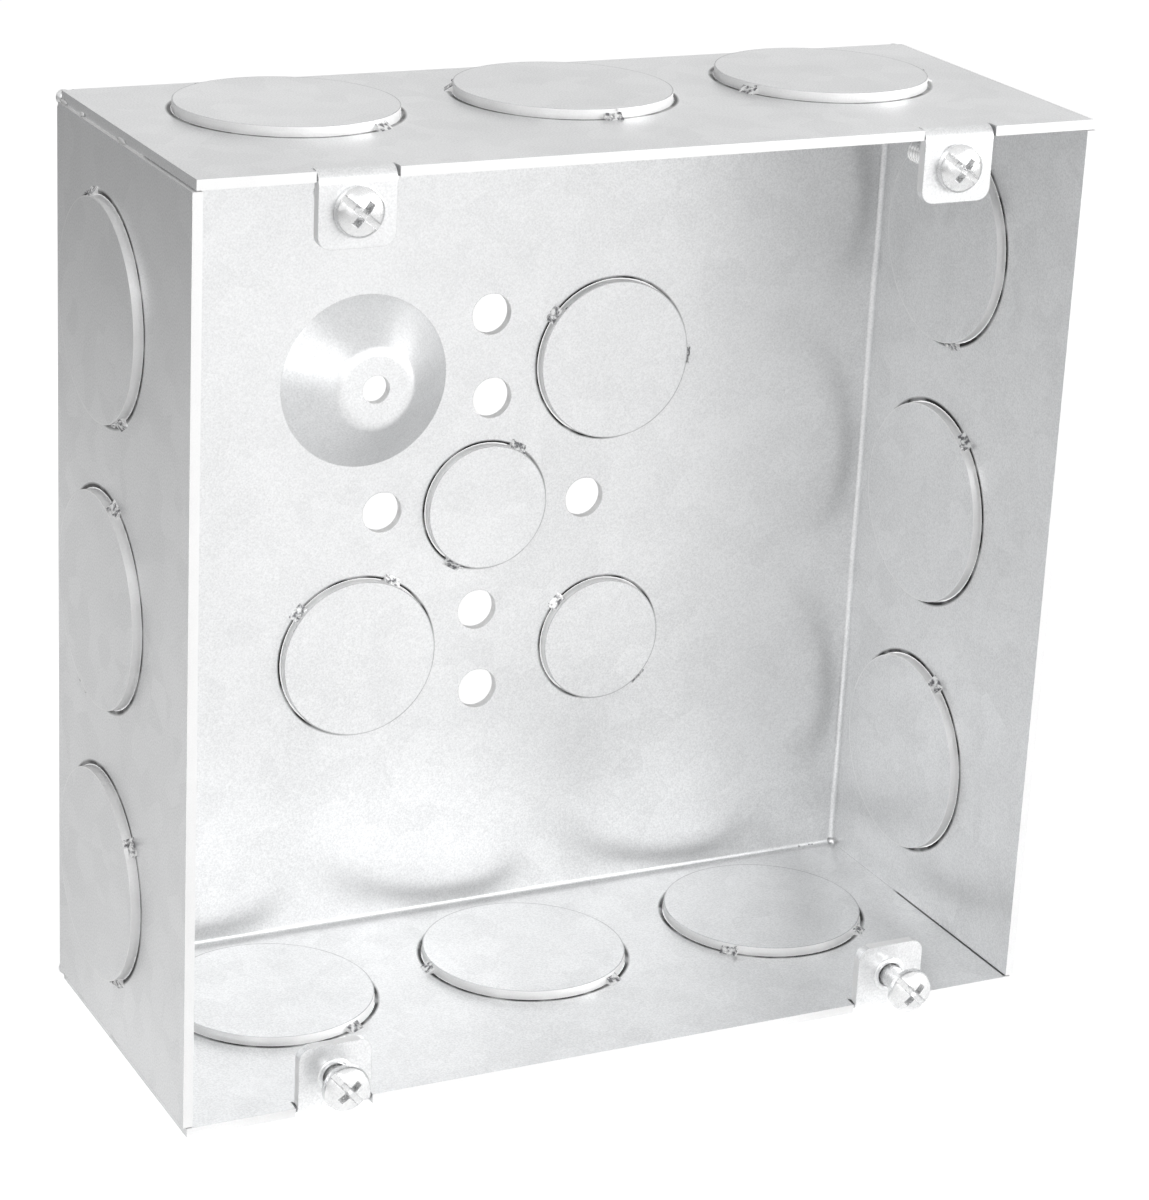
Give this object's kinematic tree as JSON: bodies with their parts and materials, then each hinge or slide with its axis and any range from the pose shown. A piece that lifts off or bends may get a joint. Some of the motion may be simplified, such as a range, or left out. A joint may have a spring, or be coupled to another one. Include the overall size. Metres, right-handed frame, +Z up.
{
  "type": "square electrical box",
  "caption": "Open square electrical box of folded and welded galvanised sheet, with knockouts in back and walls, folded ears and cover screws.",
  "frame": {"origin": "centre of the box on the outer face of its back", "axes": "+X to the right seen from the open front, +Y from the opening towards the back, +Z up; the box stands on its bottom wall"},
  "size_m": [0.1539, 0.0705, 0.1539],
  "materials": {
    "galvanised_sheet": "satin galvanised steel, fine grain",
    "zinc_screw": "bright zinc plate"
  },
  "bodies": {
    "root": {"box_body": "galvanised_sheet", "cover_screw_top_left": "zinc_screw", "cover_screw_top_right": "zinc_screw", "cover_screw_bottom_left": "zinc_screw", "cover_screw_bottom_right": "zinc_screw"}
  },
  "joints": []
}
